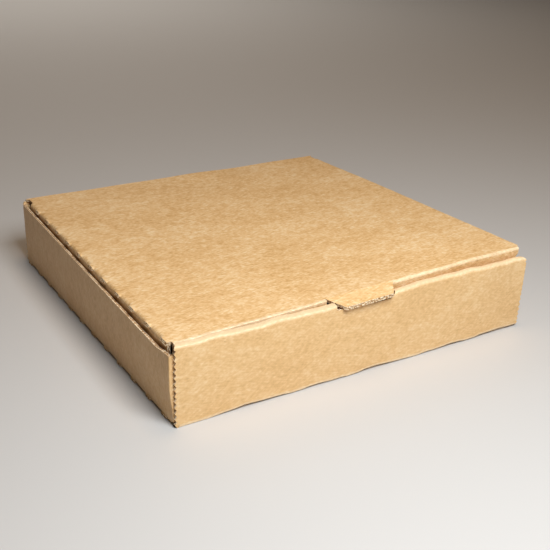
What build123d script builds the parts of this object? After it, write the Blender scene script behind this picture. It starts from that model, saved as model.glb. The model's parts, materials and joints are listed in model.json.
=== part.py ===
# Plain corrugated pizza box, folded from one die-cut sheet: a tray with a roll-over front wall, and a lid
# that swings on the back wall's top crease and tucks inside. X runs along the front, +Y towards the
# hinge and +Z up. The origin is the middle of the base's underside.
import os
from math import cos, degrees, pi, radians, sin

from build123d import *

# Driving dimensions, in millimetres and degrees
width = 229.0  # outside, along the front
depth = 229.0  # outside, front wall to back wall
height = 44.5  # front wall and hinge crease
side_drop_front = 6.5  # side walls slope: they stop this far below the front wall at their front ends
side_drop_back = 3.5  # and this far at their back ends
board = 1.5  # thickness of the fluted board
fold_inside = 0.5  # inside radius of a fold
layer_gap = 0.2  # air between layers that lie together
slit = 0.5  # cut between neighbouring panels of the sheet

tooth_pitch = 3.175  # zigzag cut on the ends of the front and back walls
tooth_depth = 1.0
perf_cut = 8.0  # cut stretches of a crease that runs along the flutes
perf_land = 11.0  # folded stretches between them
perf_ledge = 2.0  # how far the panel runs out flat at a cut, past the start of the bend
perf_gap = 0.15  # open slit under that ledge

corner_flap_length = 62.0
corner_flap_rise = 3.5  # corner flaps start this far above the floor
corner_flap_taper = 6.0
roll_taper = 3.0  # the rolled front wall narrows by this much at each end, front to back
lock_spacing = 116.0  # between the two lock tabs of the front wall
lock_width = 34.0
lock_play = 0.4  # round a lock tab in its slot
notch_width = 44.0  # in the top of the front wall, for the thumb tab
notch_base = 30.0  # its width at the bottom
notch_depth = 4.5
notch_radius = 1.5

lid_side_gap = 0.4  # lid's side flaps to the side walls
lid_front_gap = 0.4  # lid's front flap to the front wall
lid_lift = 0.6  # angle that the crease springs the lid back to
hinge_gap = 0.3  # between tray and lid, along the outside of the hinge crease
flap_rise = 8.0  # lid's tuck flaps stop this far above the floor
flap_lean = 6.0  # angle that the front tuck flap leans inwards
flap_relief = 11.0  # side tuck flaps start this far from the hinge
flap_straight = 9.0  # the ends of the tuck flaps run straight down this far and then taper
flap_taper = 14.0
flap_radius = 8.0
hinge_ear = 2.5  # end of the lid's panel that is as wide as the hinge crease

tab_root = 44.0  # thumb tab, wide end at the lid's front fold
tab_tip = 31.0
tab_length = 10.0
tab_droop = 13.0
tab_radius = 1.5
flute_pitch = 3.5
flute_mouth = 5.0  # depth to which the flutes are open at the thumb tab's edge
liner = 0.25  # paper on each face of the board
flute_wall = 0.3  # paper between two flutes

# Derived places
fold_outside = fold_inside + board
side_front_height = height - side_drop_front
side_back_height = height - side_drop_back
perf_pitch = perf_cut + perf_land
crease_half = width / 2 - fold_outside - slit
layer_inset = board + layer_gap
side_wall_half = depth / 2 - layer_inset - fold_outside
roll_depth = 3 * board + 2 * layer_gap
inner_wall_y = -depth / 2 + roll_depth
lid_half = width / 2 - board - lid_side_gap
front_fold_y = inner_wall_y + lid_front_gap + fold_outside
front_flap_half = lid_half - board - slit
flap_front_y = front_fold_y + slit
flap_back_y = depth / 2 - flap_relief
fold_height = height - fold_outside
hinge_inset = fold_outside * (1 - pi / 4)
hinge_axis = Axis((0, depth / 2 - hinge_inset, height - hinge_inset), (-1, 0, 0))


# A stretch of flat board behind an outline drawn on its outer face
def panel(outline, outer_face):
    return extrude(outer_face * outline, -board)


# Outline through the given points
def outline(*points):
    return make_face(Polyline(*points, close=True))


# Outline of a box between two corners
def rectangle(x_low, y_low, x_high, y_high):
    return Pos((x_low + x_high) / 2, (y_low + y_high) / 2) * Rectangle(x_high - x_low, y_high - y_low)


# Cross-section of bent board, with the bend's centre at the origin
def bend(start, turn):
    outer = CenterArc((0, 0), fold_outside, start, turn)
    inner = CenterArc((0, 0), fold_inside, start, turn)
    return make_face([outer, inner, Line(outer @ 0, inner @ 0), Line(outer @ 1, inner @ 1)])


# Outer face of the panel that follows a fold along X, which has turned to the given angle in the YZ plane
def face_after(centre_y, centre_z, angle):
    normal = (0, cos(radians(angle)), sin(radians(angle)))
    origin = (0, centre_y + fold_outside * normal[1], centre_z + fold_outside * normal[2])
    return Plane(origin=origin, x_dir=(1, 0, 0), z_dir=normal)


# A fold along X between two ends
def cross_fold(x_low, x_high, centre_y, centre_z, start, turn):
    section = Plane.YZ.offset(x_low) * Pos(centre_y, centre_z) * bend(start, turn)
    return extrude(section, x_high - x_low)


# A crease along the flutes, cut through at intervals up to its far end: the panel runs out flat as a ledge
# at each cut and the wall stops under it. The plane lies at the bend's centre with its y axis out of the panel.
def perforated_fold(start, length):
    fold = extrude(start * bend(0, 90), length)
    ledge = rectangle(0, fold_inside, perf_ledge, fold_outside)
    stub = rectangle(fold_inside, 0, fold_outside, fold_inside - perf_gap)
    cuts = 1 + int((length - perf_cut) // perf_pitch)
    for index in range(cuts):
        section = start.offset(length - perf_cut - index * perf_pitch)
        fold -= extrude(section * rectangle(0, 0, fold_outside, fold_outside), perf_cut)
        fold += extrude(section * (ledge + stub), perf_cut)
    return fold


# Outline of a wall whose two ends are cut in a zigzag
def serrated_wall(low, high):
    teeth = round((high - low) / tooth_pitch)
    step = (high - low) / teeth
    right_edge = [(width / 2 - tooth_depth, low)]
    for index in range(teeth):
        right_edge.append((width / 2, low + (index + 0.5) * step))
        right_edge.append((width / 2 - tooth_depth, low + (index + 1) * step))
    left_edge = [(-x, z) for x, z in reversed(right_edge)]
    return outline(*right_edge, *left_edge)


# Corner flap that turns from a side wall of the given height behind the front wall, for the +X side
def corner_flap(wall_height):
    root = width / 2 - fold_outside
    corner = Plane.XY.offset(fold_outside) * Pos(root, -side_wall_half)
    corner_fold = extrude(corner * bend(-90, 90), wall_height - fold_outside)
    flap_shape = outline(
        (root, corner_flap_rise),
        (root, wall_height),
        (root - corner_flap_length, wall_height - corner_flap_taper),
        (root - corner_flap_length, corner_flap_rise + corner_flap_taper),
    )
    return corner_fold + panel(flap_shape, Plane.XZ.offset(depth / 2 - layer_inset))


# Side wall with its corner flaps, for the +X side
def side_wall():
    floor_crease = Plane((width / 2 - fold_outside, -side_wall_half, fold_outside), (1, 0, 0), (0, 1, 0))
    shape = outline(
        (-side_wall_half, fold_outside),
        (side_wall_half, fold_outside),
        (side_wall_half, side_back_height),
        (-side_wall_half, side_front_height),
    )
    wall = panel(shape, Plane.YZ.offset(width / 2))
    wall += perforated_fold(floor_crease, 2 * side_wall_half)
    return wall + corner_flap(side_front_height) + mirror(corner_flap(side_back_height), Plane.XZ)


# Front wall: outer panel, rolled top and inner panel, with its lock tabs and the notch
def front_wall():
    outer_shape = serrated_wall(layer_gap, fold_height)
    foot = crease_half + slit
    outer_shape -= rectangle(-foot, 0, foot, fold_outside)
    outer_shape += rectangle(-crease_half, fold_outside, crease_half, fold_height)
    outer = panel(outer_shape, Plane.XZ.offset(depth / 2))
    front_centre = -depth / 2 + fold_outside
    floor_fold = cross_fold(-crease_half, crease_half, front_centre, fold_outside, 180, 90)

    back_centre = inner_wall_y - fold_outside
    half = width / 2
    roll = cross_fold(-half, half, front_centre, fold_height, 90, 90)
    roll += cross_fold(-half, half, back_centre, fold_height, 0, 90)
    roll += extrude(Plane.YZ.offset(-half) * rectangle(front_centre, height - board, back_centre, height), width)
    inner_shape = rectangle(-half, layer_inset, half, fold_height)
    for side in (-1, 1):
        lock = side * lock_spacing / 2
        inner_shape += rectangle(lock - lock_width / 2, layer_gap, lock + lock_width / 2, layer_inset)
    roll += extrude(Plane.XZ.offset(-inner_wall_y) * inner_shape, board)

    half_back = half - roll_taper
    plan = outline((-half, -depth / 2), (half, -depth / 2), (half_back, inner_wall_y), (-half_back, inner_wall_y))
    roll &= extrude(plan, height)
    notch = outline(
        (-notch_base / 2, height - notch_depth),
        (notch_base / 2, height - notch_depth),
        (notch_width / 2, height),
        (-notch_width / 2, height),
    )
    notch = fillet(notch.vertices().group_by(Axis.Y)[0], notch_radius)
    return floor_fold + (outer + roll - extrude(Plane.XZ.offset(-inner_wall_y) * notch, roll_depth))


# Back wall with the lower half of the hinge crease
def back_wall():
    shape = serrated_wall(layer_gap, fold_height)
    foot = crease_half + slit
    shape -= rectangle(-foot, 0, foot, fold_outside)
    wall = extrude(Plane.XZ.offset(-depth / 2) * shape, board)
    centre = depth / 2 - fold_outside
    wall += cross_fold(-crease_half, crease_half, centre, fold_outside, 270, 90)
    hinge_turn = 45 - degrees(hinge_gap / 2 / fold_outside)
    wall += cross_fold(-lid_half, lid_half, centre, fold_height, 0, hinge_turn)
    return wall


# Tray: base, walls and corner flaps
def make_tray():
    base_x = width / 2 - fold_outside
    base_y = depth / 2 - fold_outside
    base_shape = rectangle(-base_x, -base_y, base_x, base_y)
    slot_half = lock_width / 2 + lock_play
    slot_low = inner_wall_y - board - lock_play
    for side in (-1, 1):
        lock = side * lock_spacing / 2
        base_shape -= rectangle(lock - slot_half, slot_low, lock + slot_half, inner_wall_y + lock_play)
    base = extrude(base_shape, board)
    right = side_wall()
    return base + front_wall() + back_wall() + right + mirror(right, Plane.YZ)


# Side tuck flap of the lid with its crease, for the +X side
def side_tuck_flap():
    length = flap_back_y - flap_front_y
    crease = Plane((lid_half - fold_outside, flap_back_y, fold_height), (1, 0, 0), (0, -1, 0))
    shape = outline(
        (flap_front_y, fold_height),
        (flap_back_y, fold_height),
        (flap_back_y, fold_height - flap_straight),
        (flap_back_y - flap_taper, flap_rise),
        (flap_front_y + flap_taper, flap_rise),
        (flap_front_y, fold_height - flap_straight),
    )
    shape = fillet(shape.vertices().group_by(Axis.Y)[0], flap_radius)
    return panel(shape, Plane.YZ.offset(lid_half)) + perforated_fold(crease, length)


# Thumb tab, with its flutes open along the front edge. It leaves the same trapezium in the front flap.
def tab_outline(play):
    root = tab_root / 2 + play
    tip = tab_tip / 2 + play
    shape = outline((-root, 0), (root, 0), (tip, -tab_length - play), (-tip, -tab_length - play))
    return fillet(shape.vertices().group_by(Axis.Y)[0], tab_radius)


def thumb_tab():
    angle = 90 + tab_droop
    fold = cross_fold(-tab_root / 2, tab_root / 2, front_fold_y, fold_height, 90, tab_droop)
    face = face_after(front_fold_y, fold_height, angle)
    tab = panel(tab_outline(0), face)
    edge = Plane(face.from_local_coords((0, -tab_length, 0)), (1, 0, 0), -face.y_dir)
    half_mouth = flute_pitch / 2 - flute_wall
    crown = outline((-half_mouth, liner), (half_mouth, liner), (0, board - liner - flute_wall))
    trough = Pos(flute_pitch / 2, board) * mirror(crown, Plane.XZ)
    count = int((tab_tip - 2 * tab_radius - flute_pitch) // flute_pitch)
    for index in range(count):
        along = (index - (count - 0.5) / 2) * flute_pitch
        tab -= extrude(edge * Pos(along, 0) * (crown + trough), -flute_mouth)
    return fold + tab


# Front tuck flap of the lid, folded on both sides of the thumb tab
def front_tuck_flap():
    turn = 90 + flap_lean
    face = face_after(front_fold_y, fold_height, 90 + turn)
    drop = (fold_height - flap_rise) / cos(radians(flap_lean))
    shape = outline(
        (-front_flap_half, 0),
        (front_flap_half, 0),
        (front_flap_half, -flap_straight),
        (front_flap_half - flap_taper, -drop),
        (-front_flap_half + flap_taper, -drop),
        (-front_flap_half, -flap_straight),
    )
    shape = fillet(shape.vertices().group_by(Axis.Y)[0], flap_radius) - tab_outline(slit)
    flap = panel(shape, face)
    fold_start = tab_root / 2 + slit
    right_fold = cross_fold(fold_start, front_flap_half, front_fold_y, fold_height, 90, turn)
    return flap + right_fold + mirror(right_fold, Plane.YZ)


# Lid: panel, upper half of the hinge crease, tuck flaps and thumb tab
def make_lid():
    inner = lid_half - fold_outside
    back = depth / 2 - fold_outside
    panel_shape = rectangle(-inner, front_fold_y, inner, back)
    panel_shape += rectangle(-lid_half, back - hinge_ear, lid_half, back)
    lid = panel(panel_shape, Plane.XY.offset(height))
    hinge_start = 45 + degrees(hinge_gap / 2 / fold_outside)
    lid += cross_fold(-lid_half, lid_half, back, fold_height, hinge_start, 90 - hinge_start)
    right = side_tuck_flap()
    lid += right + mirror(right, Plane.YZ) + front_tuck_flap() + thumb_tab()
    return lid.rotate(hinge_axis, lid_lift)


os.makedirs("parts", exist_ok=True)
export_step(make_tray(), "parts/tray.step")
export_step(make_lid(), "parts/lid.step")
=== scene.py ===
import json
from math import ceil, cos, pi, radians, sin

import bpy
import numpy as np
from mathutils import Matrix, Vector


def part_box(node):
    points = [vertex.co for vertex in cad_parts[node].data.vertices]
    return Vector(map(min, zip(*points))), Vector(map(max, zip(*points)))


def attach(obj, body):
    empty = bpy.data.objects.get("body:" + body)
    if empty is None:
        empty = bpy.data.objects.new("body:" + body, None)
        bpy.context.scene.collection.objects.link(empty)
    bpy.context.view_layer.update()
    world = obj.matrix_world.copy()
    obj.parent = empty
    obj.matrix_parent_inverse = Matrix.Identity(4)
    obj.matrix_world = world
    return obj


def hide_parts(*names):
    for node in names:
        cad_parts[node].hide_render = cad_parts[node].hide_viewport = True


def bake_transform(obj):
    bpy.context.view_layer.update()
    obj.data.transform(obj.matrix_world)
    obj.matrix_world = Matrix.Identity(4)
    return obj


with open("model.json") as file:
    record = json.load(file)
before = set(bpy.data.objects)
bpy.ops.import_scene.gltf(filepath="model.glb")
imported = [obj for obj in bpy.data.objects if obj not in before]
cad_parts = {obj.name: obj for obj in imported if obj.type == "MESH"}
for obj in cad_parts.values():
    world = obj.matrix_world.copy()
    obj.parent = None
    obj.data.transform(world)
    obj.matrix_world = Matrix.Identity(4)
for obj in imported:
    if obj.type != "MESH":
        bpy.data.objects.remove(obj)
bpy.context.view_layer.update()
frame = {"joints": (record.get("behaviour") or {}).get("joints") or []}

mm = 0.001
hair = 0.001  # mm, points closer than this are in one place

# Fluted board, mm
board = {
    "thick": 1.5,
    "liner": 0.34,  # paper on each face
    "medium": 0.34,  # fluted paper between them
    "flutePitch": 3.5,
    "foldInside": 0.5,  # inside radius of a fold
    "bendSteps": 7,  # facets round a quarter turn
    "fluteSteps": 8,  # points along one flute at a cut end
    "mouthDepth": 0.9,  # how far a cut end can be looked into
    "mouthLength": 1.5,  # shortest cut that shows flutes
    "grooveDepth": 0.15,  # the same where the cut runs along the flutes
    "fray": 0.18,  # how ragged the cutting rule leaves an edge
    "frayStep": 0.9,
    "sharpEdge": 38.0,  # degrees from which an edge isn't shaded smooth
}
thick = board["thick"]
foldOutside = board["foldInside"] + thick
bendLength = foldOutside * pi / 2

# Crease along the flutes: cut through at intervals so that it folds square, mm
crease = {
    "cut": 8.0,
    "land": 11.0,
    "ramp": 1.6,  # how far from a cut's end the fold takes to straighten out
    "ledge": 2.5,  # board that stays flat at a cut, beyond the start of the bend
    "slit": 0.05,
    "uneven": 0.08,  # share by which some cuts open less than others
    "crush": 0.15,  # how far the folded stretches are pressed in at their middle
    "bevel": 0.6,  # slope of the lid's cut ends: the inner liner stands out beyond the outer one
    "press": 0.9,  # how much sharper than a round bend a well pressed fold is
    "pressFrom": (30.0, -10.0),  # folds at the front are pressed harder to the left of this stretch
}

# Small helpers for grids and shapes


def smooth(t):
    t = np.clip(t, 0.0, 1.0)
    return t * t * (3 - 2 * t)


def onset(t, span):  # 0 up to the span's start, 1 from its end on
    start, end = span
    return smooth((t - start) / (end - start))


def rough(a, b):  # steady noise from 0 to 1
    value = np.sin(np.asarray(a) * 12.9898 + np.asarray(b) * 78.233) * 43758.5453
    return value - np.floor(value)


def ripple(x, waves):  # waves of (length, shift) added up
    return sum(np.sin(x / length + shift) for length, shift in waves)


def merged(*parts):  # grid lines of several lists, in order and each once
    return np.unique(np.round(np.concatenate(parts), 5))


def lines(*spans):  # grid lines from (low, high, parts) spans
    return merged(*[np.linspace(low, high, parts + 1) for low, high, parts in spans])


def bothSides(values):
    return merged(-values, values)


def toLeft(u):  # 0 on the right of the front, 1 on its left
    return onset(u, crease["pressFrom"])


def roundedEnd(distance, radius):  # how far a corner of that radius pulls an edge in, near its end
    inside = np.clip(radius - distance, 0, radius)
    return radius - np.sqrt(np.maximum(radius * radius - inside * inside, 0))


# Folding: a path is straight runs (length, 0) and bends (0, degrees) of the outer face, hand 1 turns left


def leftOf(angle):
    return np.stack([-np.sin(angle), np.cos(angle)], -1)


def foldPath(start, heading, hand, runs):
    path = []
    point = np.array(start, float)
    angle = radians(heading)
    s = 0.0
    for length, turn in runs:
        path.append({"s": s, "point": point, "angle": angle, "hand": hand, "bent": turn > 0})
        if turn:
            after = angle + hand * radians(turn)
            point = point + hand * foldOutside * (leftOf(angle) - leftOf(after))
            angle = after
            length = foldOutside * radians(turn)
        else:
            point = point + length * np.array([cos(angle), sin(angle)])
        s += length
    return path


def onRun(run, s):  # outer face and the way into the board, at flat distances s
    far = np.asarray(s) - run["s"]
    angle = np.full(np.shape(far), run["angle"])
    if run["bent"]:
        angle = angle + run["hand"] * far / foldOutside
        point = run["point"] + run["hand"] * foldOutside * (leftOf(run["angle"]) - leftOf(angle))
    else:
        point = run["point"] + far[..., None] * np.array([cos(run["angle"]), sin(run["angle"])])
    return point, run["hand"] * leftOf(angle)


def onPath(path, s):
    point, inward = onRun(path[0], s)
    for run in path[1:]:
        later = (s > run["s"])[..., None]
        nextPoint, nextInward = onRun(run, s)
        point = np.where(later, nextPoint, point)
        inward = np.where(later, nextInward, inward)
    return point, inward


def squareOff(path, index, share, s):  # how far a bend pressed that much sharper moves its outer face
    bend, after = path[index], path[index + 1]
    t = np.clip((s - bend["s"]) / (after["s"] - bend["s"]), 0, 1)[..., None]
    tangent = foldOutside * np.tan(abs(after["angle"] - bend["angle"]) / 2)
    along = [np.array([cos(run["angle"]), sin(run["angle"])]) for run in (bend, after)]
    corner = bend["point"] + tangent * along[0]
    square = corner + tangent * np.where(t < 0.5, (2 * t - 1) * along[0], (2 * t - 1) * along[1])
    nearBend = np.clip(s, bend["s"], after["s"])
    return share * (square - onRun(bend, nearBend)[0])


# Panels in a row across the sheet, folded one after the other:
# pathAt takes flat v to the outer face and the way in, pressedAt takes flat u, v to a move of the outer face
def rowPlace(pathAt, pressedAt=None):
    def place(u, v, h):
        point, inward = pathAt(v)
        h = np.broadcast_to(h, np.shape(u))
        if pressedAt:
            point = point + pressedAt(u, v) * (1 - h / thick)[..., None]
        return np.stack([u, point[..., 0] + h * inward[..., 0], point[..., 1] + h * inward[..., 1]], -1)

    return place


# Perforated creases, and the panels beyond them


def perforations(low, high, cutAtLow):  # cuts up to one end, which runs out past it
    pitch = crease["cut"] + crease["land"]
    count = 1 + int((high - low - crease["cut"]) // pitch)
    first = low if cutAtLow else high - crease["cut"] - (count - 1) * pitch
    cuts = [[first + k * pitch, first + k * pitch + crease["cut"]] for k in range(count)]
    if cutAtLow:
        cuts[0][0] -= crease["cut"]
    else:
        cuts[-1][1] += crease["cut"]
    return cuts


def cutShare(cuts, v):  # 0 on folded stretches, up to 1 where the crease is cut through
    uneven = crease["uneven"]
    share = np.zeros(np.shape(v))
    for low, high in cuts:
        ends = smooth((v - low) / crease["ramp"]) * smooth((high - v) / crease["ramp"])
        share = np.maximum(share, ends * (1 - uneven + uneven * rough(low, high)))
    return share


def cutLines(cuts, low, high):  # grid lines along such a crease, close together at the ends of a cut
    ramp = crease["ramp"]
    spans = []
    at = low
    for start, end in cuts:
        start, end = max(start, low), min(end, high)
        spans.append((at, start, 4))
        spans.append((start, start + ramp, 4))
        spans.append((start + ramp, end - ramp, 3))
        spans.append((end - ramp, end, 4))
        at = end
    spans.append((at, high, 4))
    return lines(*spans)


def insideCut(cuts, v):
    inside = np.zeros(np.shape(v), bool)
    for low, high in cuts:
        inside |= (v > low) & (v < high)
    return inside


# Side panel beyond a perforated crease, with corner flaps past cornerAt if it has them
def sidePlace(side, path, cuts, sharp, cornerAt=None, lean=None):
    foldStart = path[1]["s"]
    wallX = path[2]["point"][0]
    corner = foldPath((cornerAt or 0, 0), 0, 1, [(0, 90), (1, 0)])

    def place(u, v, h):
        s = u * side
        h = np.broadcast_to(h, np.shape(u))
        share = cutShare(cuts, v)[..., None]
        point, inward = onPath(path, s)
        point = point + squareOff(path, 1, sharp, s) * (1 - h / thick)[..., None]
        across = np.clip((s - foldStart) / bendLength, 0, 1)
        pressed = crease["crush"] * (1 + 0.2 * np.sin(v * 0.21 + 2)) * np.sin(pi * across) ** 1.2
        point = point + inward * pressed[..., None]
        sloped = 0 if cornerAt else crease["bevel"] * h * (1 - sharp)
        far = (s - foldStart) * (1 - sharp / 2)  # a sharp crease leaves shorter ledges
        slope = sloped * smooth((s - foldStart) / crease["ledge"])
        ledge, ledgeInward = onRun(path[0], foldStart + far + slope)
        stub, stubInward = onRun(path[2], s)
        before = (s < foldStart + crease["ledge"] + 10 * hair)[..., None]
        h = h * (1 - pressed / thick * (1 - share[..., 0]))
        point = point * (1 - share) + np.where(before, ledge, stub) * share
        inward = inward * (1 - share) + np.where(before, ledgeInward, stubInward) * share
        x = point[..., 0] + h * inward[..., 0]
        z = point[..., 1] + h * inward[..., 1]
        y = v
        if cornerAt:
            past = np.abs(v) - cornerAt
            around = np.maximum(past, 0)
            turn, turnInward = onPath(corner, around)
            turn = turn + squareOff(corner, 0, crease["press"], around) * (1 - h / thick)[..., None]
            x = np.where(past > 0, wallX - turn[..., 1] - h * turnInward[..., 1], x)
            y = np.where(past > 0, np.sign(v) * (turn[..., 0] + h * turnInward[..., 0]), y)
        if lean:
            x = x + lean(v, z)
        return np.stack([side * x, y, z], -1)

    return place


def foldLines(start):  # grid lines across a perforated crease, on both sides of the gap at a cut
    low, high = openGap(start)
    return lines((start, low, 5), (low, high, 2), (high, start + bendLength, 1))


def openGap(start):
    return start + crease["ledge"], start + bendLength - (foldOutside - thick - crease["slit"])


def crushedIn(bends, s):  # 0 on flat board, 1 over most of a bend that crosses the flutes
    crushed = np.zeros(np.shape(s))
    for bend, after in bends:
        t = np.clip((s - bend["s"]) / (after["s"] - bend["s"]), 0, 1)
        crushed = np.maximum(crushed, np.minimum(1.6 * np.sin(pi * t), 1))
    return crushed


# A piece, with what its materials read at every point: place in the flat sheet, crushing and mottling
def meshPiece(name, points, faces, finish, sheetPlace, crushed, formation):
    mesh = bpy.data.meshes.new(name)
    mesh.from_pydata((points * mm).tolist(), [], faces)
    for material in boardMaterials:
        mesh.materials.append(material)
    mesh.polygons.foreach_set("material_index", finish)
    place = mesh.attributes.new("flatSheet", "FLOAT_VECTOR", "POINT")
    place.data.foreach_set("vector", np.asarray(sheetPlace, np.float32).ravel())
    evenly = np.full(len(points), formation)
    for key, values in (("crushed", crushed), ("formation", evenly)):
        mesh.attributes.new(key, "FLOAT", "POINT").data.foreach_set("value", values.astype(np.float32))
    mesh.shade_smooth()
    mesh.set_sharp_from_angle(angle=radians(board["sharpEdge"]))
    mesh.validate()
    piece = bpy.data.objects.new(name, mesh)
    bpy.context.collection.objects.link(piece)
    triangles = sum(len(face) - 2 for face in faces)
    print(f"{name}: {len(faces)} faces, {triangles} triangles")
    return piece


# One sheet of board: die-cut patches, folded, given two liners and a fluted core at every cut edge
def foldSheet(name, patches, flip, warp, formation):
    flat, owner, cells, known = [], [], [], {}
    for k, patch in enumerate(patches):
        u, v = np.meshgrid(patch["u"], patch["v"], indexing="ij")
        middle = [(g[:-1, :-1] + g[1:, :-1] + g[:-1, 1:] + g[1:, 1:]) / 4 for g in (u, v)]
        kept = patch["keep"](*middle) if "keep" in patch else np.ones(middle[0].shape)
        u, v = patch["shape"](u, v)
        outer = np.round(patch["place"](u, v, 0.0), 3)
        for i, j in np.argwhere(kept):
            ring = []
            for a, b in ((i, j), (i + 1, j), (i + 1, j + 1), (i, j + 1)):
                key = tuple(outer[a, b])
                if key not in known:
                    known[key] = len(flat)
                    flat.append((u[a, b], v[a, b]))
                    owner.append(k)
                ring.append(known[key])
            cells.append((k, ring[::-1] if flip else ring))

    used = {}
    for c, (k, ring) in enumerate(cells):
        for a, b in zip(ring, ring[1:] + ring[:1]):
            used[a, b] = c

    # cut edges: those that cross the flutes are divided finely enough to show them
    follow, edgeOf, split = {}, {}, {}
    step = board["flutePitch"] / board["fluteSteps"]
    for (a, b), c in used.items():
        if (b, a) in used:
            continue
        k = cells[c][0]
        start, end = np.array(flat[a]), np.array(flat[b])
        across = abs(end[0] - start[0])
        plain = "plain" in patches[k] and bool(patches[k]["plain"](*(start + end) / 2))
        along = abs(end[1] - start[1])
        mouth = across > board["mouthLength"] and across > along and not plain
        parts = ceil(across / step) if mouth else 1 if plain else ceil(along / board["frayStep"])
        added = []
        for part in range(1, parts):
            added.append(len(flat))
            flat.append(tuple(start + (end - start) * part / parts))
            owner.append(k)
        split[a, b] = added
        chain = [a] + added + [b]
        for p, q in zip(chain, chain[1:]):
            follow[p] = q
            edgeOf[p] = (plain, mouth)

    flat = np.array(flat)
    owner = np.array(owner)
    before = {q: p for p, q in follow.items()}
    count = len(flat)

    def lay(ids, uv, h):  # folded places of flat points
        out = np.zeros((len(ids), 3))
        for k, patch in enumerate(patches):
            pick = owner[ids] == k
            if pick.any():
                out[pick] = patch["place"](uv[pick, 0], uv[pick, 1], h[pick])
        return out

    # cut vertices: the way into the panel, and how deep one can look in there
    rims = np.array([p for p in follow if not (edgeOf[p][0] and edgeOf[before[p]][0])])
    ahead = flat[[follow[p] for p in rims]] - flat[rims]
    behind = flat[rims] - flat[[before[p] for p in rims]]
    turn = -1 if flip else 1
    normal = np.zeros_like(ahead)
    for way in (ahead, behind):
        size = np.maximum(np.hypot(way[:, 0], way[:, 1]), 1e-6)
        normal += turn * np.stack([-way[:, 1] / size, way[:, 0] / size], -1)
    normal /= np.maximum(np.hypot(normal[:, 0], normal[:, 1]), 0.3)[:, None]
    gaping = np.array([edgeOf[p][1] and edgeOf[before[p]][1] for p in rims])
    fullyCut = np.array([not (edgeOf[p][0] or edgeOf[before[p]][0]) for p in rims])
    fray = board["fray"] * fullyCut * rough(flat[rims, 0] * 7.1, flat[rims, 1] * 3.3)
    flat[rims] += normal * fray[:, None]
    hollow = np.where(gaping, board["mouthDepth"], board["grooveDepth"])

    everyId = np.arange(count)
    outer = lay(everyId, flat, np.zeros(count))
    inner = lay(everyId, flat, np.full(count, thick))
    sheetPlace = [np.column_stack([flat, np.full(count, h)]) for h in (0.0, thick)]
    blocks = [outer, inner]

    # profile of a cut edge from liner to liner: liner, hollow, fluted paper, hollow, liner
    slack = 0.03
    sway = thick / 2 - board["liner"] - board["medium"] / 2 - slack
    wave = thick / 2 + sway * np.cos(2 * pi * flat[rims, 0] / board["flutePitch"])
    levels = [
        np.full(len(rims), board["liner"]),
        wave - board["medium"] / 2,
        wave + board["medium"] / 2,
        np.full(len(rims), thick - board["liner"]),
    ]
    profile = [(0, 0), (0, 1), (1, 1), (1, 0), (2, 0), (2, 1), (3, 1), (3, 0)]  # (level, recessed)
    rimStart = {p: index for index, p in enumerate(rims)}
    for level, recessed in profile:
        at = flat[rims] + normal * (hollow * recessed)[:, None]
        blocks.append(lay(rims, at, levels[level]))
        sheetPlace.append(np.column_stack([at, levels[level]]))

    def profileIds(p):
        middle = [2 * count + row * len(rims) + rimStart[p] for row in range(len(profile))]
        return [p] + middle + [count + p]

    # faces: 0 liner, 1 cut paper, 2 inside the flutes
    faces, finish = [], []
    for k, ring in cells:
        loop = []
        for a, b in zip(ring, ring[1:] + ring[:1]):
            loop.append(a)
            loop += split.get((a, b), [])
        faces.append(loop)
        faces.append([count + p for p in reversed(loop)])
        finish += [0, 0]
    paperRows = (0, 4, 8)
    for p, q in follow.items():
        if edgeOf[p][0]:
            faces.append([q, p, count + p, count + q])
            finish.append(1)
            if not edgeOf[before[p]][0]:
                faces.append(profileIds(p))
                finish.append(1)
            continue
        near, far = profileIds(p), profileIds(q)
        for row in range(len(near) - 1):
            faces.append([far[row], near[row], near[row + 1], far[row + 1]])
            finish.append(1 if row in paperRows else 2)
        if edgeOf[before[p]][0]:
            faces.append(profileIds(p)[::-1])
            finish.append(1)

    points = warp(np.concatenate(blocks))
    crushed = np.zeros(len(points))
    for k, patch in enumerate(patches):
        if "crushed" in patch:
            pick = everyId[owner == k]
            crushed[pick] = patch["crushed"](flat[pick, 1])
            crushed[count + pick] = crushed[pick]
    return meshPiece(name, points, faces, finish, np.concatenate(sheetPlace), crushed, formation)


# Materials


def linear(hexColour):  # sRGB hex to the linear colour that shaders take
    parts = [int(hexColour[i : i + 2], 16) / 255 for i in (1, 3, 5)]
    return [c / 12.92 if c <= 0.04045 else ((c + 0.055) / 1.055) ** 2.4 for c in parts] + [1.0]


def addNode(tree, kind, settings=None, links=None):
    made = tree.nodes.new(kind)
    for key, value in (settings or {}).items():
        if key in made.inputs:
            made.inputs[key].default_value = value
        else:
            setattr(made, key, value)
    for key, source in (links or {}).items():
        tree.links.new(source, made.inputs[key])
    return made


def newMaterial(name):
    material = bpy.data.materials.new(name)
    material.use_nodes = True
    tree = material.node_tree
    tree.nodes.clear()
    shader = addNode(tree, "ShaderNodeBsdfPrincipled")
    addNode(tree, "ShaderNodeOutputMaterial", {}, {"Surface": shader.outputs["BSDF"]})
    return material, tree, shader


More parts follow.
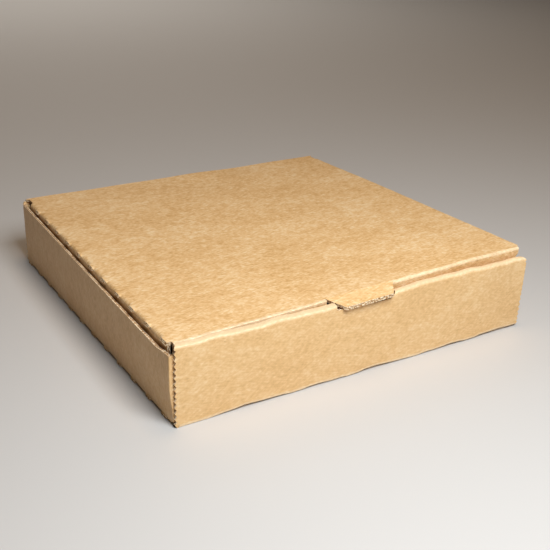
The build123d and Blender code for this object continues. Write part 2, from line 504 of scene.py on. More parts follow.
# Unbleached kraft linerboard, machine glazed: a soft sheen, fibres that lie mostly across the flutes, and
# a cloudy formation with a few dark shives
kraftLinerLook = {
    "pale": "#F0CF9F",
    "mid": "#E1B47B",
    "dark": "#C8985C",
    "shive": "#8F6338",
    # paler liner over folds: partly the liner stretched there, partly a painted highlight on the fold crests
    "stretchedAndHighlit": "#F8E8C8",  # where the liner is drawn over a fold
    "noises": {  # length and width of a grain in mm, turn in degrees, detail
        "fibres": (5.0, 0.9, 14, 2.0),  # drawn coarser than real fibres so that they show
        "crossing": (5.0, 0.9, -32, 2.0),
        "grain": (2.04, 1.7, -14, 3.0),
        "cloud": (7.5, 5.0, 0, 2.0),
        "patch": (48.0, 30.0, 4, 2.0),
        "shives": (2.2, 0.5, 15, 1.0),
    },
    "tones": {  # shares in the colour
        "fibres": 0.22,
        "crossing": 0.18,
        "grain": 0.26,
        "cloud": 0.18,
        "patch": 0.16,
    },
    "rises": {"grain": 0.015, "cloud": 0.02},  # mm
    "washboard": 0.015,  # mm that the flutes stand out through the liner
    "crushed": 0.3,  # mm, the same in a crease across them
    "sheen": 0.3,
    "roughness": 0.4,
}


def kraftLiner():
    look = kraftLinerLook
    material, tree, shader = newMaterial("kraftLinerboard")
    sheet = addNode(tree, "ShaderNodeAttribute", {"attribute_name": "flatSheet"}).outputs["Vector"]
    crushed = addNode(tree, "ShaderNodeAttribute", {"attribute_name": "crushed"}).outputs["Fac"]
    formation = addNode(tree, "ShaderNodeAttribute", {"attribute_name": "formation"}).outputs["Fac"]

    noises = {}
    for name, (length, breadth, turn, detail) in look["noises"].items():
        turned = (0, 0, radians(turn))
        spread = {"vector_type": "TEXTURE", "Scale": (length, breadth, 1.6), "Rotation": turned}
        mapped = addNode(tree, "ShaderNodeMapping", spread, {"Vector": sheet})
        fine = {"Scale": 1.0, "Detail": detail, "Roughness": 0.55}
        noise = addNode(tree, "ShaderNodeTexNoise", fine, {"Vector": mapped.outputs["Vector"]})
        noises[name] = noise.outputs["Fac"]

    # flutes that show through the liner, more where it is crushed
    waveScale = pi / 10 / board["flutePitch"]  # the wave node repeats every pi / 10 units
    period = {"bands_direction": "X", "Scale": waveScale, "Distortion": 0.5, "Detail": 1.0}
    flutes = addNode(tree, "ShaderNodeTexWave", period, {"Vector": sheet}).outputs["Fac"]
    swell = {"To Min": look["washboard"], "To Max": look["crushed"]}
    swollen = addNode(tree, "ShaderNodeMapRange", swell, {"Value": crushed}).outputs["Result"]
    ribs = addNode(tree, "ShaderNodeMath", {"operation": "MULTIPLY"}, {0: flutes, 1: swollen})

    # tone and relief: both are noises added up, the relief together with the flutes
    sums = []
    for key, low, high, others in (("tones", 0.3, 0.7, []), ("rises", 0.2, 0.8, [ribs.outputs["Value"]])):
        parts = []
        for name, share in look[key].items():
            span = {"From Min": low, "From Max": high, "To Max": share}
            scaled = addNode(tree, "ShaderNodeMapRange", span, {"Value": noises[name]})
            parts.append(scaled.outputs["Result"])
        total, *rest = parts + others
        for part in rest:
            added = addNode(tree, "ShaderNodeMath", {"operation": "ADD"}, {0: total, 1: part})
            total = added.outputs["Value"]
        sums.append(total)
    tone, relief = sums

    # colour: mottled as much as the piece's formation says, then shives, then paler over the folds: partly
    # the liner stretched there, partly a painted highlight along the fold crests
    evened = {"data_type": "FLOAT", "clamp_factor": False, "A": 0.5}
    mottled = addNode(tree, "ShaderNodeMix", evened, {"Factor": formation, "B": tone})
    ramp = addNode(tree, "ShaderNodeValToRGB", {}, {"Fac": mottled.outputs["Result"]})
    stops = ramp.color_ramp.elements
    stops[0].position = 0.2
    stops[0].color = linear(look["dark"])
    stops[1].position = 0.8
    stops[1].color = linear(look["pale"])
    stops.new(0.5).color = linear(look["mid"])
    colour = ramp.outputs["Color"]
    tints = [
        ("shive", noises["shives"], {"From Min": 0.72, "From Max": 0.8, "To Max": 0.4}),
        # painted highlight along the folds, together with the liner's real paling where it is stretched
        ("stretchedAndHighlit", crushed, {"From Min": 0.2, "To Max": 0.3}),
    ]
    for key, source, span in tints:
        share = addNode(tree, "ShaderNodeMapRange", span, {"Value": source}).outputs["Result"]
        tint = {"data_type": "RGBA", "B": linear(look[key])}
        colour = addNode(tree, "ShaderNodeMix", tint, {"Factor": share, "A": colour}).outputs["Result"]
    tree.links.new(colour, shader.inputs["Base Color"])
    shader.inputs["Roughness"].default_value = look["roughness"]
    shader.inputs["Specular IOR Level"].default_value = look["sheen"]
    bump = addNode(tree, "ShaderNodeBump", {"Strength": 0.6, "Distance": mm}, {"Height": relief})
    tree.links.new(bump.outputs["Normal"], shader.inputs["Normal"])
    return material


# Raw edge left by the cutting rule: crushed, fibrous paper in pale and dark specks
cutPaperLook = {
    "pale": "#F0D8B2",
    "dark": "#9C7044",
    "darkAt": 0.36,  # noise values at which the two colours are reached
    "paleAt": 0.58,
    "grain": 1.1,  # mm
    "relief": 0.3,  # mm
    "sheen": 0.2,
    "roughness": 0.95,
}

# Fluting medium: semi-chemical paper inside the board, greyer and darker than the liners
mediumLook = {
    "pale": "#C08C52",
    "dark": "#966634",
    "darkAt": 0.0,
    "paleAt": 1.0,
    "grain": 2.0,  # mm
    "relief": 0.0,
    "sheen": 0.2,
    "roughness": 0.9,
}


def speckedPaper(name, look):
    material, tree, shader = newMaterial(name)
    sheet = addNode(tree, "ShaderNodeAttribute", {"attribute_name": "flatSheet"}).outputs["Vector"]
    scaled = {"Scale": (1 / look["grain"],) * 3}
    spread = addNode(tree, "ShaderNodeMapping", scaled, {"Vector": sheet}).outputs["Vector"]
    fine = {"Detail": 2.0, "Scale": 1.0}
    noise = addNode(tree, "ShaderNodeTexNoise", fine, {"Vector": spread}).outputs["Fac"]
    ramp = addNode(tree, "ShaderNodeValToRGB", {}, {"Fac": noise})
    stops = ramp.color_ramp.elements
    stops[0].position = look["darkAt"]
    stops[0].color = linear(look["dark"])
    stops[1].position = look["paleAt"]
    stops[1].color = linear(look["pale"])
    tree.links.new(ramp.outputs["Color"], shader.inputs["Base Color"])
    shader.inputs["Roughness"].default_value = look["roughness"]
    shader.inputs["Specular IOR Level"].default_value = look["sheen"]
    if look["relief"]:
        raised = {"Strength": 0.4, "Distance": look["relief"] * mm}
        bump = addNode(tree, "ShaderNodeBump", raised, {"Height": noise})
        tree.links.new(bump.outputs["Normal"], shader.inputs["Normal"])
    return material


boardMaterials = [
    kraftLiner(),
    speckedPaper("cutPaperEdge", cutPaperLook),
    speckedPaper("flutingMedium", mediumLook),
]
print("materials ready")

# Overall size from the frame, mm
trayLow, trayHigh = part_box("tray")
width = (trayHigh[0] - trayLow[0]) / mm
depth = (trayHigh[1] - trayLow[1]) / mm
height = (trayHigh[2] - trayLow[2]) / mm
foldHeight = height - foldOutside

# Tray, mm
trayCut = {
    "sideDropFront": 6.5,  # side walls stop this far below the front wall, at their front end
    "sideDropBack": 3.5,
    "cornerRise": 1.7,  # they are pushed up again at the front corner
    "cornerReach": 14.0,
    "layerGap": 0.2,
    "slit": 0.1,
    "toothPitch": 3.175,
    "toothDepth": 1.0,
    "cornerFlapLength": 62.0,
    "cornerFlapRise": 3.5,
    "cornerFlapTaper": 6.0,
    "rollTaper": 3.0,
    "lockSpacing": 116.0,
    "lockWidth": 34.0,
    "lockPlay": 0.4,
    "notchWidth": 44.0,
    "notchDepth": 2.6,
    "notchLeft": 0.5,  # its ends have moved: the right one is pushed in under the tab
    "notchRight": -3.8,
    "notchClose": 4.0,  # and closes in further down the wall
    "notchFade": 18.0,  # how far down the board these moves die out
    "frontBow": 0.2,  # the rolled front wall stands higher in its middle, and to the right
    "rollRise": 1.1,
    "rollRiseOver": (14.0, 28.0),  # x from the tab to where it is up
    "rollFade": 0.6,  # share of it that is lost again at the corner
    "rollFadeOver": (80.0, 112.0),
    "rollSink": 0.9,  # but is pressed down under the right side of the tab
    "rollPress": 0.8,  # how much sharper its top folds are towards the left
    "rollWave": 0.22,
    "rollWaveUp": 0.6,  # share of the waves that goes up and down, and in and out
    "rollWaveIn": 0.7,
    "rollWaves": ((5.1, 0.0), (8.3, 1.0), (2.9, 2.0)),
    "rollFrom": 10.0,  # height from which the wall follows them
    "footRise": 1.5,  # its bottom fold stands unevenly off the table
    "footLevel": 0.5,  # shares of that rise: everywhere, in waves and in small steps
    "footWave": 0.25,
    "footStep": 0.3,
    "footFrom": (2.0, 32.0),  # the left corner stays down up to here
    "footRight": (80.0, 115.0),  # x over which it rises most
    "footDeep": 2.5,  # how far into the wall it reaches, and how far up
    "footHigh": 5.0,
    "footWaves": ((6.7, 0.0), (11.0, 1.2)),
    "footSteps": ((3.1, 0.0), (4.7, 0.8)),
    "columnStep": 4.0,
    "leanFront": 2.0,  # side walls stand out at their front ends
    "leanBack": 0.4,
    "leanOver": (2.0, 24.0),  # heights between which they lean
    "sideBow": 0.3,
    "formation": 0.72,  # how strongly its liner is mottled
}
layerInset = thick + trayCut["layerGap"]
sideHalf = depth / 2 - layerInset - foldOutside
rollDepth = 3 * thick + 2 * trayCut["layerGap"]
innerWallY = -depth / 2 + rollDepth
baseHalfX = width / 2 - foldOutside
baseHalfY = depth / 2 - foldOutside
creaseHalf = baseHalfX - trayCut["slit"]
toothFoot = trayCut["layerGap"]
toothCount = round((foldHeight - toothFoot) / trayCut["toothPitch"])


def toothCut(z):  # how far the zigzag cuts into a wall's end at a height
    phase = (z - toothFoot) / (foldHeight - toothFoot) * toothCount
    return trayCut["toothDepth"] * 2 * np.abs(phase - np.floor(phase) - 0.5)


def toothLines(low, high):
    heights = np.linspace(toothFoot, foldHeight, 2 * toothCount + 1)
    inside = heights[(heights > low) & (heights < high)]
    return np.concatenate([[low], inside, [high]])


def makeTray():
    cut = trayCut
    wallRun = height - 2 * foldOutside
    topRun = rollDepth - 2 * foldOutside
    innerRun = foldHeight - layerInset
    frontRuns = [(baseHalfY, 0), (0, 90), (wallRun, 0), (0, 90), (topRun, 0), (0, 90), (innerRun, 0)]
    frontPath = foldPath((0, 0), 180, -1, frontRuns)
    backPath = foldPath((0, 0), 0, 1, [(baseHalfY, 0), (0, 90), (wallRun, 0)])
    starts = [run["s"] for run in frontPath]
    wallFoot, wallTop, innerTop = starts[2], starts[3], starts[6]
    innerFoot = innerTop + innerRun
    lockFoot = innerFoot + thick
    notchOuter = wallTop - (cut["notchDepth"] - foldOutside)
    notchInner = innerTop + cut["notchDepth"] - foldOutside
    lockEdges = [(cut["lockSpacing"] + way * cut["lockWidth"]) / 2 for way in (-1, 1)]
    slotEdges = [lockEdges[0] - cut["lockPlay"], lockEdges[1] + cut["lockPlay"]]
    slotY = [innerWallY - thick - cut["lockPlay"], innerWallY + cut["lockPlay"]]
    notchHalf = cut["notchWidth"] / 2
    cuts = perforations(-sideHalf, sideHalf, False)
    alongSides = merged(cutLines(cuts, -sideHalf, sideHalf), slotY[1:])

    def rowPath(v):
        front, frontInward = onPath(frontPath, -v)
        back, backInward = onPath(backPath, v)
        isFront = (v < 0)[..., None]
        return np.where(isFront, front, back), np.where(isFront, frontInward, backInward)

    def pressedRow(u, v):
        left = toLeft(u)[..., None]
        front = squareOff(frontPath, 1, crease["press"], -v)
        front = front + squareOff(frontPath, 3, cut["rollPress"] / 2, -v) * left
        front = front + squareOff(frontPath, 5, cut["rollPress"], -v) * left
        return np.where((v < 0)[..., None], front, squareOff(backPath, 1, crease["press"], v))

    rowFold = rowPlace(rowPath, pressedRow)
    steps = board["bendSteps"]
    footRows = lines((baseHalfY, wallFoot, steps))
    toothRows = wallFoot + toothLines(foldOutside, foldHeight) - foldOutside
    frontStations = np.concatenate(
        [
            footRows,
            toothRows,
            [notchOuter, notchInner],
            lines((wallTop, starts[4], steps), (starts[4], starts[5], 1), (starts[5], innerTop, steps)),
            lines((innerTop, innerFoot, 8), (innerFoot, lockFoot, 1)),
        ]
    )
    rowLines = merged(-frontStations, slotY, alongSides, footRows, toothRows)
    columnStops = [0, notchHalf, *slotEdges, *lockEdges, creaseHalf, baseHalfX, width / 2]
    between = np.arange(cut["columnStep"], creaseHalf - 3, cut["columnStep"])
    clear = np.min(np.abs(between[:, None] - np.array(columnStops)[None, :]), 1) > 2
    columnLines = bothSides(np.concatenate([columnStops, between[clear]]))

    def keepRow(u, v):
        across, s = np.abs(u), np.abs(v)
        front = v < 0
        base = (s < baseHalfY) & (across < baseHalfX)
        slot = (across > slotEdges[0]) & (across < slotEdges[1]) & (v > slotY[0]) & (v < slotY[1])
        fold = (s > baseHalfY) & (s < wallFoot) & (across < creaseHalf)
        wall = (s > wallFoot) & (s < np.where(front, innerFoot, wallTop))
        notch = front & (across < notchHalf) & (s > notchOuter) & (s < notchInner)
        lock = front & (s > innerFoot) & (across > lockEdges[0]) & (across < lockEdges[1])
        return (base & ~slot) | fold | (wall & ~notch) | lock

    def shapeRow(u, v):
        s = np.abs(v)
        onWall = (s > wallFoot - hair) & (s < wallTop + hair)
        end = np.isclose(np.abs(u), width / 2)
        sawn = width / 2 - toothCut(foldOutside + s - wallFoot)
        shaped = np.where(onWall & end, np.sign(u) * sawn, u)
        # the notch's right end closes in from its middle, on top of the roll, to its two lower edges
        rollMid = (wallTop + innerTop) / 2
        fromMid = np.abs(s - rollMid)
        reach = rollMid - notchOuter
        fading = 1 - smooth((fromMid - reach) / cut["notchFade"])
        share = np.where(fromMid < reach, fromMid / reach, fading)
        across = np.abs(shaped)
        beside = np.clip((slotEdges[0] - across) / (slotEdges[0] - notchHalf), 0, 1)
        near = np.where(across < notchHalf, across / notchHalf, beside)
        closing = np.where(shaped > 0, cut["notchClose"] * share * near, 0)
        aside = np.where(shaped < 0, cut["notchLeft"], cut["notchRight"]) * (beside * fading)
        moved = shaped - closing + aside
        shaped = np.where((v < 0) & (s > wallFoot), moved, shaped)
        y = rowPath(v)[0][..., 0]
        narrowed = 1 - cut["rollTaper"] / (width / 2) * np.clip((y + depth / 2) / rollDepth, 0, 1)
        return np.where((v < 0) & (s > wallTop + hair), shaped * narrowed, shaped), v

    def plainRow(u, v):  # hidden edges, zigzag ends, and the back wall's top, where the hinge crease goes on
        hinge = v > wallTop - 10 * hair and abs(u) < baseHalfX
        sawn = abs(u) > width / 2 - 2 * cut["toothDepth"] and abs(v) < wallTop
        return hinge or sawn or v < -innerFoot + 0.5 or slotY[0] - 0.1 < v < slotY[1] + 0.1

    frontBends = [(frontPath[1], frontPath[2]), (frontPath[3], frontPath[6])]
    backBends = [(backPath[1], backPath[2])]
    patches = [
        {
            "u": columnLines,
            "v": rowLines,
            "keep": keepRow,
            "shape": shapeRow,
            "place": rowFold,
            "plain": plainRow,
            "crushed": lambda v: np.where(v < 0, crushedIn(frontBends, -v), crushedIn(backBends, v)),
        }
    ]

    # feet of the front and back walls, beside the crease
    def footPatch(side, path, way):
        def shape(u, v):
            end = np.isclose(np.abs(u), width / 2)
            z = foldOutside + v * way - wallFoot
            return np.where(end, np.sign(u) * (width / 2 - toothCut(z)), u), v

        heights = toothLines(toothFoot, foldOutside)
        return {
            "u": np.sort(side * np.array([baseHalfX, width / 2])),
            "v": np.sort(way * (wallFoot + heights - foldOutside)),
            "shape": shape,
            "place": rowPlace(lambda v: onRun(path[2], v * way)),
            "plain": lambda u, v: True,
        }

    # side wall and its corner flaps
    topMax = height - cut["sideDropBack"]
    cornerEnd = sideHalf + bendLength
    flapEnd = cornerEnd + cut["cornerFlapLength"]
    corners = np.concatenate([lines((sideHalf, cornerEnd, steps)), lines((cornerEnd, flapEnd, 6))])
    sidePath = foldPath((0, 0), 0, 1, [(baseHalfX, 0), (0, 90), (topMax - foldOutside, 0)])
    sideFoot = sidePath[2]["s"]
    gapLow, gapHigh = openGap(baseHalfX)

    def lean(v, z):
        along = np.clip(v / sideHalf, -1, 1)
        out = cut["leanFront"] * (1 - along) / 2 + cut["leanBack"] * (1 + along) / 2
        return onset(z, cut["leanOver"]) * (out + cut["sideBow"] * (1 - along * along))

    def sidePatch(side):
        def keep(u, v):
            s = u * side
            onWall = np.abs(v) < sideHalf
            opened = insideCut(cuts, v) & (s > gapLow) & (s < gapHigh)
            return (onWall & ~opened) | (s > sideFoot)

        def shape(u, v):
            s, along = u * side, np.clip(v / sideHalf, -1, 1)
            reach = cut["cornerReach"]
            top = height - cut["sideDropFront"] * (1 - along) / 2 - cut["sideDropBack"] * (1 + along) / 2
            top = top + cut["cornerRise"] * smooth((reach - sideHalf - v) / reach)
            past = np.abs(v) - sideHalf
            alongFlap = np.clip((past - bendLength) / cut["cornerFlapLength"], 0, 1)
            taper = cut["cornerFlapTaper"] * alongFlap
            rise = (cut["cornerFlapRise"] - foldOutside) * np.clip(past / bendLength, 0, 1)
            low, high = foldOutside + rise + taper, top - taper
            share = (s - sideFoot) / (topMax - foldOutside)
            up = sideFoot - foldOutside + low + share * (high - low)
            return np.where(s > sideFoot - hair, side * up, u), v

        walls = lines((sideFoot, sideFoot + topMax - foldOutside, 6))
        return {
            "u": np.sort(side * merged(foldLines(baseHalfX), walls)),
            "v": merged(-corners, alongSides, corners),
            "keep": keep,
            "shape": shape,
            "place": sidePlace(side, sidePath, cuts, 0, sideHalf, lean),
        }

    for side in (-1, 1):
        patches.append(sidePatch(side))
        patches.append(footPatch(side, frontPath, -1))
        patches.append(footPatch(side, backPath, 1))

    def warp(points):
        x, y, z = points.T.copy()
        up = smooth((z - cut["rollFrom"]) / (height - cut["rollFrom"]))
        frontWall = smooth((innerWallY + thick - y) / thick)
        bow = cut["frontBow"] * np.clip(1 - (x / (width / 2)) ** 2, 0, 1)
        wave = cut["rollWave"] * ripple(x, cut["rollWaves"])
        risen = onset(x, cut["rollRiseOver"])
        right = cut["rollRise"] * risen * (1 - cut["rollFade"] * onset(x, cut["rollFadeOver"]))
        sink = cut["rollSink"] * onset(x, cut["rollRiseOver"][::-1]) * (x > 0)
        points[:, 2] += frontWall * up * (bow + wave * cut["rollWaveUp"] + right - sink)
        points[:, 1] += frontWall * up * wave * cut["rollWaveIn"]
        deep, high = cut["footDeep"], cut["footHigh"]
        foot = smooth((deep - depth / 2 - y) / deep) * smooth((high - z) / high)
        waves = cut["footWave"] * ripple(x, cut["footWaves"])
        rise = cut["footLevel"] + waves + onset(x, cut["footRight"])
        ragged = cut["footStep"] * smooth(ripple(x, cut["footSteps"]) * 1.5 + 0.5)
        rightwards = onset(x + width / 2, cut["footFrom"])
        points[:, 2] += cut["footRise"] * foot * (rise + ragged) * rightwards
        return points

    return foldSheet("tray_board", patches, True, warp, cut["formation"])


tray = makeTray()
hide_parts("tray")
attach(tray, "tray")

# Lid, mm and degrees
lidCut = {
    "sideGap": 0.4,
    "frontGap": 1.2,
    "slit": 0.5,
    "tabSlit": 0.1,
    "flapRise": 8.0,
    "flapLean": 6.0,
    "flapRelief": 11.0,
    "flapTaper": 14.0,
    "flapStraight": 9.0,  # the flaps' ends run straight down this far before they taper
    "flapRadius": 8.0,
    "tabRoot": 44.0,
    "tabTip": 31.0,
    "tabLength": 10.0,
    "tabDroop": 13.0,
    "tabRadius": 0.8,
    "tabBevel": 2.0,  # length of its sloped end
    "tabReach": 60.0,  # the front flap's grid is drawn round the tab up to here
    "columns": (32.0, 106.0, 8.0),  # grid lines beside the tab: from, to, step
    "tabShift": -2.0,  # the tab has slid to the left in its notch
    "tuckRight": 3.5,  # and the front fold is pushed in under its right side
    "tuckOver": 1.5,  # length of the bend over which that comes in
    "ear": 2.5,  # the panel widens to the hinge crease over this length
    "earEdge": 0.3,  # from this far outside the side crease
    "foldPressLeft": 0.75,  # how much sharper the front fold is than a round bend
    "foldPressRight": 0.2,
    "sharpLeft": 0.1,  # the same for the side creases
    "sharpRight": 0.8,
    "lift": 0.6,  # where the crease springs the lid back to
    "twistLeft": -3.2,  # the lid's front edge has warped out of level
    "twistRight": 4.3,
    "cornerDroop": 0.5,  # and its front corners hang
    "cornerDroopRight": 1.3,
    "droopOver": (-76.0, -112.0),  # x over which they begin to hang
    "droopOverRight": (70.0, 112.0),
    "bulgeLeft": 1.2,  # it presses the left wall out, and its right side stands out over the right wall
    "bulgeRight": 2.6,
    "bulgeOver": (60.0, 110.0),  # distance from the middle over which it comes in
    "bulgeHigh": (41.5, 46.5),  # heights, for the right side
    "wave": 0.25,
    "waveLengths": (17.0, 29.0),  # across and along
    "waveShift": 1.3,
    "hingeWave": 0.18,
    "hingeWaves": ((9.0, 0.0), (13.7, 1.1), (23.0, 2.0)),
    "hingeNear": (92.0, 110.0),  # y and z over which the panel begins to follow the crease's waves
    "hingeHigh": (36.0, 42.0),
    "formation": 1.2,  # its liner is scuffed and mottled more than the tray's
}
hinge = next(joint for joint in frame["joints"] if joint["name"] == "lid_hinge")
hingeY, hingeZ = hinge["pos_m"][1] / mm, hinge["pos_m"][2] / mm
lidHalf = width / 2 - thick - lidCut["sideGap"]
lidBack = depth / 2 - foldOutside


def hingeWave(x):  # the crease isn't quite straight
    return lidCut["hingeWave"] * ripple(x, lidCut["hingeWaves"])


def swing(points, degrees):  # turned open about the hinge
    y, z = points[:, 1] - hingeY, points[:, 2] - hingeZ
    turn = np.radians(degrees)
    points[:, 1] = hingeY + y * np.cos(turn) + z * np.sin(turn)
    points[:, 2] = hingeZ - y * np.sin(turn) + z * np.cos(turn)
    return points


def makeLid():
    cut = lidCut
    frontFold = innerWallY + cut["frontGap"] + foldOutside
    flapFront, flapBack = frontFold + cut["slit"], depth / 2 - cut["flapRelief"]
    panelHalf = lidHalf - foldOutside
    flapHalf = lidHalf - thick - cut["slit"]
    panelRun = lidBack - frontFold
    frontTurn = 90 + cut["flapLean"]
    drop = (foldHeight - cut["flapRise"]) / cos(radians(cut["flapLean"]))
    path = foldPath((lidBack, height), 180, 1, [(panelRun, 0), (0, frontTurn), (drop, 0)])
    flapTop = path[2]["s"]
    window = cut["tabLength"] + cut["slit"]
    tabHalf = cut["tabRoot"] / 2
    tabX = cut["tabShift"]
    windowHalf = tabHalf + cut["tabSlit"]
    narrowing = (cut["tabRoot"] - cut["tabTip"]) / 2
    steps = board["bendSteps"]
    cuts = perforations(flapFront, flapBack, True)
    alongSides = cutLines(cuts, flapFront, flapBack)
    tabColumns = lines((tabX - tabHalf, tabX + tabHalf, 8))
    windowEdges = [tabX - windowHalf, tabX + windowHalf]
    stops = bothSides(np.concatenate([np.arange(*cut["columns"]), [flapHalf, panelHalf, lidHalf]]))
    columnLines = merged(tabColumns, windowEdges, stops)
    bottom = cut["flapRadius"] * np.array([1, 0.75, 0.5, 0.3, 0.15, 0.05, 0])
    straight = cut["flapStraight"]
    flapRows = flapTop + lines((0, straight, 3), (straight, window, 1), (window, drop - bottom[0], 3))
    downs = np.concatenate([lines((panelRun, flapTop, steps)), flapRows, flapTop + drop - bottom])
    earStart = lidBack - cut["ear"]
    slitEnd = flapBack + cut["slit"]
    backRows = lines((flapBack, slitEnd, 1), (slitEnd, earStart, 2), (earStart, lidBack, 4))
    rowLines = merged(lidBack - downs, [frontFold], alongSides, backRows)

    def flapPull(down, run):  # how far a flap's end is drawn in, at a distance down it
        taper = cut["flapTaper"] * np.clip((down - straight) / (run - straight), 0, 1)
        return np.where(down > 0, taper + roundedEnd(run - down, cut["flapRadius"]), 0)

    def keepRow(u, v):
        across, s = np.abs(u), lidBack - v
        half = np.where(v > slitEnd, lidHalf, panelHalf)
        besideTab = (np.abs(u - tabX) > windowHalf) | (s > flapTop + window)
        front = (s > panelRun) & (across < flapHalf) & besideTab
        return ((s < panelRun) & (across < half)) | front

    def shapeRow(u, v):
        across, down = np.abs(u), lidBack - v - flapTop
        fading = 1 - smooth((down - window) / (drop - window))
        share = np.where(down < window, np.clip(down / window, 0, 1), fading)
        apart = cut["tabReach"]
        off = np.abs(u - tabX)
        beside = np.clip((apart - off) / (apart - windowHalf), 0, 1)
        near = np.where(off < windowHalf, off / windowHalf, beside)
        inner = u - np.sign(u - tabX) * narrowing * share * near
        half = flapHalf - flapPull(down, drop)
        outer = np.sign(u) * (apart + (across - apart) * (half - apart) / (flapHalf - apart))
        shaped = np.where(across > apart, outer, inner)
        onFold = smooth((down + flapTop - panelRun) / cut["tuckOver"])
        tucked = np.where(u > tabX, cut["tuckRight"] * near * onFold, 0)
        shaped = np.where(down > -hair, shaped, u) - tucked
        ear = np.isclose(across, lidHalf)  # the panel is cut back between side flap and hinge
        edge, run = cut["earEdge"], cut["ear"]
        widened = edge + (foldOutside - edge) * smooth((v - lidBack + run) / run)
        back = np.sign(u) * (panelHalf + widened)
        return np.where(ear & (down < -hair), back, shaped), v

    def plainRow(u, v):
        return v > lidBack - 10 * hair

    def pressed(u, v):
        share = cut["foldPressRight"] + (cut["foldPressLeft"] - cut["foldPressRight"]) * toLeft(u)
        return squareOff(path, 1, 1, lidBack - v) * share[..., None]

    patches = [
        {
            "u": columnLines,
            "v": rowLines,
            "keep": keepRow,
            "shape": shapeRow,
            "place": rowPlace(lambda v: onPath(path, lidBack - v), pressed),
            "plain": plainRow,
            "crushed": lambda v: crushedIn([(path[1], path[2])], lidBack - v),
        }
    ]

    # thumb tab: stays in the lid's plane and droops
    tabRuns = [(panelRun, 0), (0, cut["tabDroop"]), (cut["tabLength"], 0)]
    tabPath = foldPath((lidBack, height), 180, 1, tabRuns)
    tabStart = tabPath[2]["s"]
    tabEnd = tabStart + cut["tabLength"]
    tip = cut["tabRadius"] * np.array([1, 0.5, 0.2, 0])
    tabFlat = lines((panelRun, tabStart, 2), (tabStart, tabEnd - tip[0], 4))
    tabRows = np.concatenate([tabFlat, tabEnd - tip])
    tabFold = rowPlace(lambda v: onPath(tabPath, lidBack - v))

    def tabPlace(u, v, h):
        sloped = smooth((lidBack - v - tabEnd + cut["tabBevel"]) / cut["tabBevel"])
        return tabFold(u, v - crease["bevel"] * h * sloped, h)

    def shapeTab(u, v):
        out = lidBack - v - tabStart
        half = tabHalf - narrowing * np.clip(out / cut["tabLength"], 0, 1)
        half = half - roundedEnd(cut["tabLength"] - out, cut["tabRadius"])
        return tabX + (u - tabX) * half / tabHalf, v

    patches.append(
        {
            "u": tabColumns,
            "v": np.sort(lidBack - tabRows),
            "shape": shapeTab,
            "place": tabPlace,
        }
    )

    # side tuck flaps
    sideRun = foldHeight - cut["flapRise"]
    sidePath = foldPath((0, height), 0, -1, [(panelHalf, 0), (0, 90), (sideRun, 0)])
    sideTop = sidePath[2]["s"]
    gapLow, gapHigh = openGap(panelHalf)

    def sidePatch(side):
        def keep(u, v):
            return ~(insideCut(cuts, v) & (u * side > gapLow) & (u * side < gapHigh))

        def shape(u, v):
            pull = flapPull(u * side - sideTop, sideRun)
            share = (v - flapFront) / (flapBack - flapFront)
            return u, flapFront + pull + share * (flapBack - flapFront - 2 * pull)

        flat = lines((0, straight, 2), (straight, sideRun - bottom[0], 3))
        downs = np.concatenate([sideTop + flat, sideTop + sideRun - bottom])
        sharp = cut["sharpLeft"] if side < 0 else cut["sharpRight"]
        return {
            "u": np.sort(side * merged(foldLines(panelHalf), downs)),
            "v": alongSides,
            "keep": keep,
            "shape": shape,
            "place": sidePlace(side, sidePath, cuts, sharp),
        }

    patches += [sidePatch(-1), sidePatch(1)]

    def warp(points):
        points = swing(points, cut["lift"])
        forward = (hingeY - points[:, 1]) / (hingeY - frontFold)
        x, y, z = points.T.copy()
        twist = np.where(x < 0, cut["twistLeft"], cut["twistRight"])
        points[:, 2] += forward * np.abs(x) / lidHalf * twist
        points[:, 2] -= cut["cornerDroop"] * forward**3 * onset(x, cut["droopOver"])
        points[:, 2] -= cut["cornerDroopRight"] * forward**3 * onset(x, cut["droopOverRight"])
        across, along = cut["waveLengths"]
        waves = np.sin(x / across + cut["waveShift"]) * np.sin(y / along)
        points[:, 2] += cut["wave"] * smooth(forward * 3) * waves
        points[:, 2] += hingeWave(x) * onset(y, cut["hingeNear"]) * onset(z, cut["hingeHigh"])
        high = onset(points[:, 2], cut["bulgeHigh"])
        points[:, 0] += cut["bulgeRight"] * smooth(forward) * high * onset(x, cut["bulgeOver"])
        upward = onset(z, trayCut["leanOver"])
        points[:, 0] -= cut["bulgeLeft"] * smooth(forward * 1.5) * upward * onset(-x, cut["bulgeOver"])
        return points

    return foldSheet("lid_board", patches, False, warp, cut["formation"])


lid = makeLid()
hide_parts("lid")
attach(lid, "lid")

# Hinge crease: the bent board between back wall and lid
hingeLook = {"steps": 24, "columns": 60, "formation": 1.0}


def makeHinge():
    path = foldPath((depth / 2, foldHeight), 90, 1, [(0, 90)])
    columns = np.linspace(-baseHalfX, baseHalfX, hingeLook["columns"] + 1)
    far = np.linspace(0, bendLength, hingeLook["steps"] + 1)
    point, inward = onPath(path, far)
    section = np.concatenate([point, (point + thick * inward)[::-1]])
    flatAlong = np.concatenate([far, far[::-1]])
    ring = len(section)
    points, sheetPlace, faces, finish = [], [], [], []
    for x in columns:
        points += [(x, y, z) for y, z in section]
        sheetPlace += [(x, along, 0) for along in flatAlong]
    for c in range(len(columns) - 1):
        for r in range(ring):
            a, b = c * ring + r, c * ring + (r + 1) % ring
            faces.append([a, b, b + ring, a + ring])
            finish.append(0)
    last = (len(columns) - 1) * ring
    faces += [list(range(ring))[::-1], [last + r for r in range(ring)]]
    finish += [1, 1]
    points = np.array(points)
    turned = np.tile(flatAlong / bendLength, len(columns))
    points = swing(points, lidCut["lift"] * turned)
    points[:, 2] += hingeWave(points[:, 0]) * turned
    # the crease mask also pales the liner here: partly stretched paper, partly a painted highlight
    crushed = np.sin(pi * turned)
    return meshPiece("hinge_crease", points, faces, finish, sheetPlace, crushed, hingeLook["formation"])


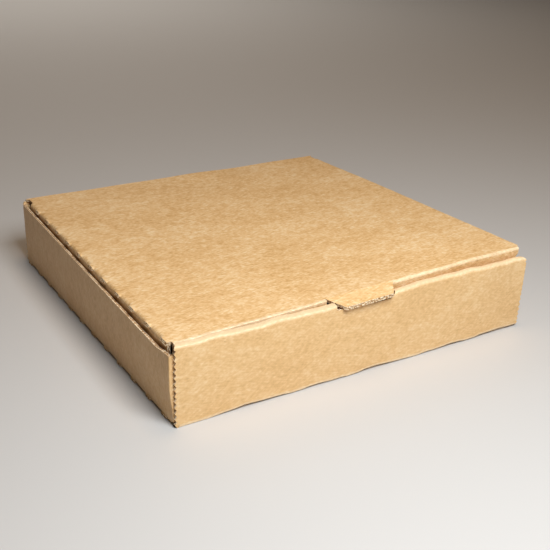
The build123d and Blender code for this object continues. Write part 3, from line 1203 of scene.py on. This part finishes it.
hingeCrease = makeHinge()
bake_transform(hingeCrease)

# Floor, light and camera
studio = {
    "floor": "#C6BFB6",
    "floorReach": 4.0,  # m
    "floorRoughness": 0.6,
    "world": "#FFE8D2",
    "worldStrength": 0.035,
}
lamps = {
    "keyLight": {
        "place": (-0.05, -0.41, 0.465),
        "aimAt": (0, -0.08, 0.03),
        "size": 0.28,
        "spread": 180,
        "power": 4.9,
        "colour": "#E6F2FF",
    },
    "topLight": {
        "place": (0.15, 0.0, 1.6),
        "aimAt": (0, 0, 0),
        "size": 0.5,
        "spread": 180,
        "power": 5.5,
        "colour": "#FFDCB3",
    },
    "backLight": {
        "place": (0.3, 1.5, 1.2),
        "aimAt": (0.3, 1.5, 0),
        "size": 1.0,
        "spread": 110,
        "power": 5.0,
        "colour": "#FFFFFF",
    },
}


def makeFloor():
    material, tree, shader = newMaterial("paleFloor")
    shader.inputs["Base Color"].default_value = linear(studio["floor"])
    shader.inputs["Roughness"].default_value = studio["floorRoughness"]
    mesh = bpy.data.meshes.new("floor")
    reach = studio["floorReach"]
    corners = [(-reach, -reach, 0), (reach, -reach, 0), (reach, reach, 0), (-reach, reach, 0)]
    mesh.from_pydata(corners, [], [[0, 1, 2, 3]])
    mesh.materials.append(material)
    floor = bpy.data.objects.new("floor", mesh)
    bpy.context.collection.objects.link(floor)


def addLamp(name, look):
    lamp = bpy.data.lights.new(name, "AREA")
    lamp.size = look["size"]
    lamp.energy = look["power"]
    lamp.color = linear(look["colour"])[:3]
    lamp.spread = radians(look["spread"])
    holder = bpy.data.objects.new(name, lamp)
    holder.location = look["place"]
    aim = Vector(look["aimAt"]) - Vector(look["place"])
    holder.rotation_euler = aim.to_track_quat("-Z", "Y").to_euler()
    bpy.context.collection.objects.link(holder)


makeFloor()
for name, look in lamps.items():
    addLamp(name, look)
world = bpy.data.worlds.new("studio")
world.use_nodes = True
world.node_tree.nodes["Background"].inputs["Color"].default_value = linear(studio["world"])
world.node_tree.nodes["Background"].inputs["Strength"].default_value = studio["worldStrength"]
bpy.context.scene.world = world
bpy.context.scene.view_settings.view_transform = "Standard"

# Camera found from the corners of the box, as shares of its width
view = {
    "azimuth": -32.386,
    "elevation": 24.449,
    "roll": 2.0846,
    "distance": 2.642,
    "target": (0.0994, 0.0730, 0.0),
    "focalPixels": 902.65,
    "framePixels": 550,
    "sensor": 36.0,
}


def makeCamera():
    a, e, r = radians(view["azimuth"]), radians(view["elevation"]), radians(view["roll"])
    back = Vector((sin(a) * cos(e), -cos(a) * cos(e), sin(e)))
    right = (-back).cross(Vector((0, 0, 1))).normalized()
    up = right.cross(-back)
    right, up = right * cos(r) + up * sin(r), up * cos(r) - right * sin(r)
    camera = bpy.data.cameras.new("camera")
    camera.sensor_width = view["sensor"]
    camera.lens = view["focalPixels"] / view["framePixels"] * view["sensor"]
    camera.clip_start = 0.01
    holder = bpy.data.objects.new("camera", camera)
    place = (Vector(view["target"]) + back * view["distance"]) * width * mm
    holder.matrix_world = Matrix.Translation(place) @ Matrix((right, up, back)).transposed().to_4x4()
    bpy.context.collection.objects.link(holder)
    bpy.context.scene.camera = holder


makeCamera()
print("studio ready")

bpy.context.view_layer.update()
